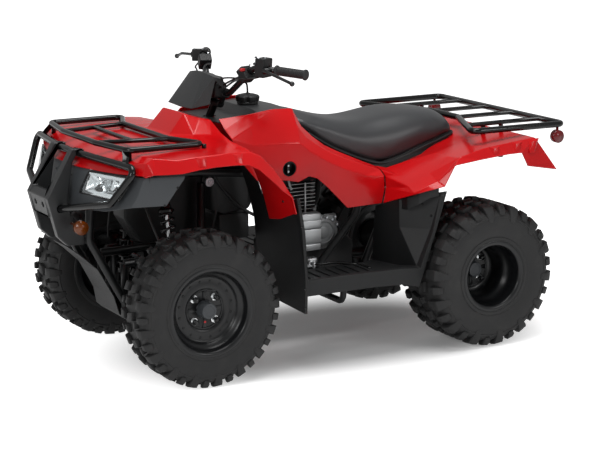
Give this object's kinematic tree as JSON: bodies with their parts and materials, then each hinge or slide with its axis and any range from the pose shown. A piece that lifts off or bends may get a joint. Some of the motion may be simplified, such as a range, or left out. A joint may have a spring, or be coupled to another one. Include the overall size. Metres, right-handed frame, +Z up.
{
  "type": "quad bike",
  "caption": "Utility quad bike with knobbly tyres, moulded fenders, a padded saddle, tubular racks front and rear, and handlebar steering.",
  "frame": {"origin": "on the floor under the centre of the machine's box", "axes": "+X forward, +Y to the rider's left, +Z up"},
  "size_m": [1.925, 1.028, 1.079],
  "materials": {
    "red_plastic": "gloss",
    "grey_plastic": "textured",
    "black_plastic": "textured",
    "black_steel": "gloss",
    "frame_steel": "satin",
    "rim_steel": "satin",
    "hub_steel": "machined",
    "tyre_rubber": "matte",
    "grip_rubber": "matte",
    "engine_alloy": "cast",
    "engine_black": "satin",
    "exhaust_steel": "heat tinted",
    "seat_vinyl": "grained vinyl",
    "spring_steel": "satin",
    "lamp_lens": "clear",
    "amber_lens": "gloss",
    "red_lens": "gloss",
    "bar_steel": "gloss"
  },
  "bodies": {
    "chassis": {"frame_left": "frame_steel", "frame_right": "frame_steel", "frame_cross": "frame_steel", "skid_plate": "black_plastic", "engine_crankcase": "engine_black", "engine_cylinder": "engine_black", "engine_left_cover": "engine_alloy", "exhaust": "exhaust_steel", "swingarm": "frame_steel", "tow_hitch": "frame_steel", "rear_shock": "spring_steel", "front_shocks": "spring_steel", "upper_arms": "frame_steel", "lower_arms": "frame_steel", "front_fender": "red_plastic", "front_fascia": "grey_plastic", "headlight_left": "lamp_lens", "headlight_right": "lamp_lens", "bumper_tubes": "black_steel", "bumper_cover": "black_plastic", "front_rack": "black_steel", "rear_rack": "black_steel", "rear_fender": "red_plastic", "side_cover_left": "red_plastic", "side_cover_right": "red_plastic", "tank_cover": "black_plastic", "fuel_cap": "black_plastic", "seat": "seat_vinyl", "front_guard_left": "black_plastic", "front_guard_right": "black_plastic", "rear_guard_left": "black_plastic", "rear_guard_right": "black_plastic", "floor_stays": "black_plastic", "tail_light": "red_lens", "reflectors_front": "amber_lens", "reflectors_rear": "red_lens"},
    "steering": {"steering_stem": "frame_steel", "handlebar": "bar_steel", "grips": "grip_rubber", "controls_left": "black_plastic", "controls_right": "black_plastic", "levers": "bar_steel", "meter_cover": "black_plastic"},
    "knuckle_left": {"knuckle_left": "frame_steel"},
    "tie_rod_left": {"tie_rod_left": "hub_steel"},
    "front_wheel_left": {"front_tyre_left": "tyre_rubber", "front_rim_left": "rim_steel", "front_hub_left": "hub_steel"},
    "knuckle_right": {"knuckle_right": "frame_steel"},
    "tie_rod_right": {"tie_rod_right": "hub_steel"},
    "front_wheel_right": {"front_tyre_right": "tyre_rubber", "front_rim_right": "rim_steel", "front_hub_right": "hub_steel"},
    "rear_axle": {"rear_axle": "hub_steel", "rear_tyre_left": "tyre_rubber", "rear_rim_left": "rim_steel", "rear_tyre_right": "tyre_rubber", "rear_rim_right": "rim_steel"}
  },
  "joints": [
    {"name": "steering_turn", "type": "hinge", "parent": "chassis", "child": "steering", "pos_m": [0.5375, 0, 0.33], "axis": [-0.4139, 0, 0.9103], "range_deg": [-32, 32]},
    {"name": "knuckle_left_turn", "type": "hinge", "parent": "chassis", "child": "knuckle_left", "pos_m": [0.5375, 0.325, 0.266], "axis": [0, 0, 1], "range_deg": [-32, 32]},
    {"name": "tie_rod_left_turn", "type": "hinge", "parent": "steering", "child": "tie_rod_left", "pos_m": [0.48288, 0.014, 0.30516], "axis": [-0.4139, 0, 0.9103], "range_deg": [-32, 32]},
    {"name": "front_wheel_left_spin", "type": "hinge", "parent": "knuckle_left", "child": "front_wheel_left", "pos_m": [0.5375, 0.395, 0.266], "axis": [0, 1, 0], "continuous": true},
    {"name": "knuckle_right_turn", "type": "hinge", "parent": "chassis", "child": "knuckle_right", "pos_m": [0.5375, -0.325, 0.266], "axis": [0, 0, 1], "range_deg": [-32, 32]},
    {"name": "tie_rod_right_turn", "type": "hinge", "parent": "steering", "child": "tie_rod_right", "pos_m": [0.48288, -0.014, 0.30516], "axis": [-0.4139, 0, 0.9103], "range_deg": [-32, 32]},
    {"name": "front_wheel_right_spin", "type": "hinge", "parent": "knuckle_right", "child": "front_wheel_right", "pos_m": [0.5375, -0.395, 0.266], "axis": [0, 1, 0], "continuous": true},
    {"name": "rear_axle_spin", "type": "hinge", "parent": "chassis", "child": "rear_axle", "pos_m": [-0.5925, 0, 0.263], "axis": [0, 1, 0], "continuous": true}
  ],
  "couplings": [
    {"joint": "knuckle_left_turn", "follows": "steering_turn", "ratio": 1},
    {"joint": "tie_rod_left_turn", "follows": "steering_turn", "ratio": -1},
    {"joint": "knuckle_right_turn", "follows": "steering_turn", "ratio": 1},
    {"joint": "tie_rod_right_turn", "follows": "steering_turn", "ratio": -1}
  ]
}
